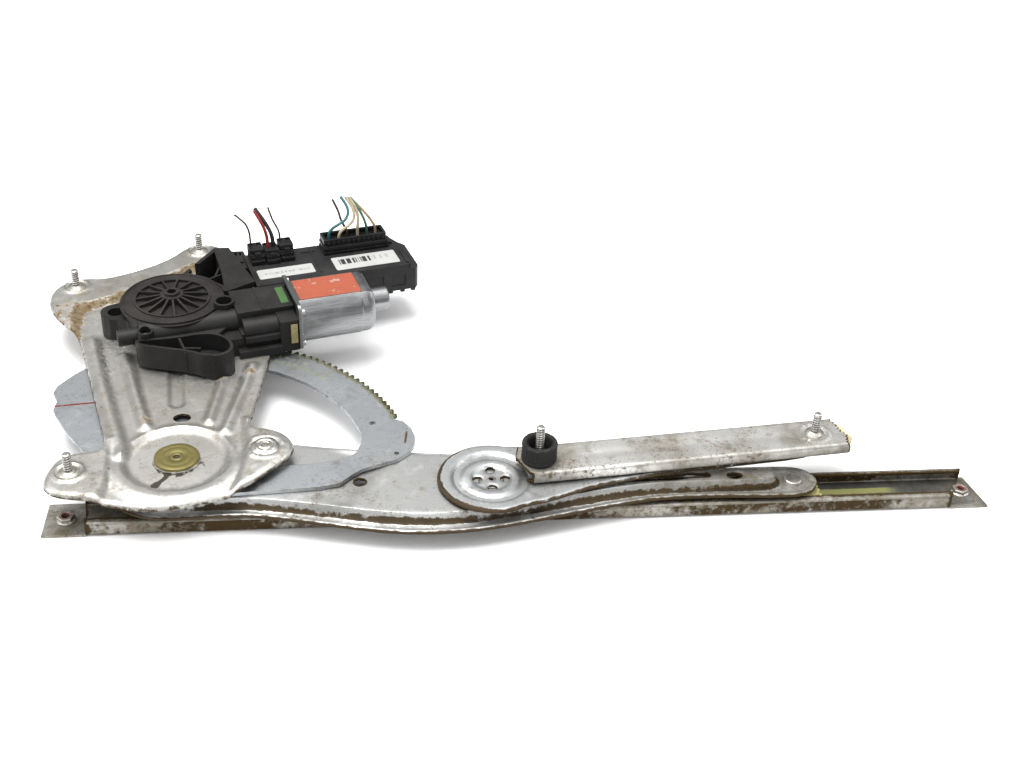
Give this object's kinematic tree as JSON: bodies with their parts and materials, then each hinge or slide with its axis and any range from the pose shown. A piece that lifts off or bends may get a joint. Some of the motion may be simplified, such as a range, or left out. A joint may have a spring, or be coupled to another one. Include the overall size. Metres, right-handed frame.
{
  "type": "window regulator",
  "caption": "Cross-arm power window regulator: base plate, toothed sector on a lift arm, crossing arm, two slotted rails and a worm-gear motor with control unit.",
  "frame": {"origin": "middle of the unit's footprint, at the underside of the glass rail", "axes": "+X along the glass rail towards its longer free end, +Y from the glass rail towards the motor, +Z square to the arms, towards the motor's side"},
  "size_m": [0.682, 0.367, 0.0969],
  "materials": {
    "zinc_plate": "zinc plated pressed sheet, stained and greasy",
    "zinc_arm": "zinc plated pressed sheet, stained and greasy",
    "zinc_rail": "zinc plated rolled strip, dull",
    "zinc_guide": "zinc plated rolled strip, dull, light rust",
    "gear_steel": "blanked steel, zinc plated, greasy teeth",
    "bright_steel": "machined or headed, zinc plated",
    "yellow_zinc": "yellow passivated",
    "can_steel": "deep drawn, zinc plated, satin",
    "core_steel": "laminated",
    "ferrite": "sintered",
    "carbon": "pressed carbon",
    "bronze": "sintered bronze",
    "copper": "enamelled copper",
    "nylon": "moulded",
    "gear_nylon": "moulded, greased",
    "black_plastic": "glass filled, moulded",
    "cover_plastic": "glass filled, moulded",
    "ecu_plastic": "moulded, dusty",
    "connector_plastic": "moulded",
    "connector_dark": "moulded",
    "board": "solder masked",
    "label_white": "printed film",
    "label_orange": "printed film",
    "label_green": "printed film",
    "slider_plastic": "acetal, greased",
    "soft_rubber": "moulded",
    "pale_plug": "moulded",
    "wire_black": "extruded insulation",
    "wire_red": "extruded insulation",
    "wire_brown": "extruded insulation",
    "wire_teal": "extruded insulation",
    "wire_cream": "extruded insulation",
    "wire_green": "extruded insulation",
    "wire_tan": "extruded insulation"
  },
  "bodies": {
    "base": {"base_plate": "zinc_plate", "base_studs": "bright_steel", "brush_holder": "black_plastic", "brushes": "carbon", "circuit_board": "board", "connector_large": "connector_dark", "connector_small": "connector_plastic", "ear_nut": "yellow_zinc", "earth_clip": "yellow_zinc", "ecu_cover": "ecu_plastic", "ecu_housing": "ecu_plastic", "ecu_labels": "label_white", "end_bearing": "bronze", "gear_cover": "cover_plastic", "gear_housing": "black_plastic", "gearbox_label": "label_green", "housing_screws": "bright_steel", "motor_can": "can_steel", "motor_label": "label_orange", "motor_magnets": "ferrite", "motor_screws": "bright_steel", "pivot_pin": "bright_steel", "pivot_washer": "nylon", "wire_large_brown": "wire_brown", "wire_large_cream": "wire_cream", "wire_large_green": "wire_green", "wire_large_ivory": "wire_cream", "wire_large_tan": "wire_tan", "wire_large_teal": "wire_teal", "wire_small_black": "wire_black", "wire_small_brown": "wire_brown", "wire_small_red": "wire_red", "wire_small_thin": "wire_brown"},
    "lift_arm": {"lift_arm": "zinc_arm", "sector_gear": "gear_steel", "sector_rivets": "bright_steel", "lift_arm_pin": "bright_steel"},
    "crossing_arm": {"equalizer_arm_upper": "zinc_arm", "equalizer_arm_lower": "zinc_arm", "mid_pivot": "bright_steel", "lower_arm_pin": "bright_steel", "guide_pin": "bright_steel"},
    "left_slider": {"left_slider": "slider_plastic"},
    "right_slider": {"right_slider": "slider_plastic"},
    "guide_slider": {"guide_slider": "slider_plastic"},
    "glass_rail": {"glass_rail": "zinc_rail", "rail_nuts": "yellow_zinc"},
    "guide_rail": {"guide_rail": "zinc_guide", "guide_studs": "bright_steel", "rubber_bush": "soft_rubber", "rail_end_plug": "pale_plug"},
    "pinion": {"output_pinion": "bright_steel", "worm_wheel": "gear_nylon", "wheel_damper": "soft_rubber"},
    "armature": {"armature_shaft": "bright_steel", "armature_core": "core_steel", "armature_windings": "copper", "commutator": "copper", "worm": "bright_steel"}
  },
  "joints": [
    {"name": "lift", "type": "hinge", "parent": "base", "child": "lift_arm", "pos_m": [-0.22145, -0.1155, 0.025], "axis": [0, 0, 1], "range_deg": [-6, 58]},
    {"name": "crossing", "type": "hinge", "parent": "lift_arm", "child": "crossing_arm", "pos_m": [-0.01098, -0.13973, 0.018], "axis": [0, 0, 1], "range_deg": [-116.5, 12.5]},
    {"name": "left_slider_turn", "type": "hinge", "parent": "crossing_arm", "child": "left_slider", "pos_m": [-0.22284, -0.14043, 0.006], "axis": [0, 0, 1], "range_deg": [-6.5, 58.5]},
    {"name": "glass_rail_slide", "type": "slide", "parent": "left_slider", "child": "glass_rail", "axis": [1, 0, 0], "range_m": [-0.07, 0.025]},
    {"name": "right_slider_turn", "type": "hinge", "parent": "lift_arm", "child": "right_slider", "pos_m": [0.20088, -0.14043, 0.006], "axis": [0, 0, 1], "range_deg": [-58.5, 6.5]},
    {"name": "guide_slider_turn", "type": "hinge", "parent": "crossing_arm", "child": "guide_slider", "pos_m": [0.19949, -0.1155, 0.032], "axis": [0, 0, 1], "range_deg": [-6.5, 58.5]},
    {"name": "guide_rail_slide", "type": "slide", "parent": "guide_slider", "child": "guide_rail", "axis": [0.9943, 0.1063, 0], "range_m": [-0.0168, 0.1575]},
    {"name": "pinion_turn", "type": "hinge", "parent": "base", "child": "pinion", "pos_m": [-0.23853, 0.05083, 0.024], "axis": [0, 0, 1], "range_deg": [-875, 95]},
    {"name": "armature_turn", "type": "hinge", "parent": "base", "child": "armature", "pos_m": [-0.23051, 0.02192, 0.049], "axis": [0.9636, 0.2672, 0], "range_deg": [-44000, 5000]}
  ],
  "couplings": [
    {"joint": "crossing", "follows": "lift", "ratio": -2},
    {"joint": "left_slider_turn", "follows": "lift", "ratio": 1},
    {"joint": "right_slider_turn", "follows": "lift", "ratio": -1},
    {"joint": "guide_slider_turn", "follows": "lift", "ratio": 1},
    {"joint": "guide_rail_slide", "follows": "lift", "m_per_rad": 0.1549},
    {"joint": "pinion_turn", "follows": "lift", "ratio": -15},
    {"joint": "armature_turn", "follows": "lift", "ratio": -750}
  ]
}
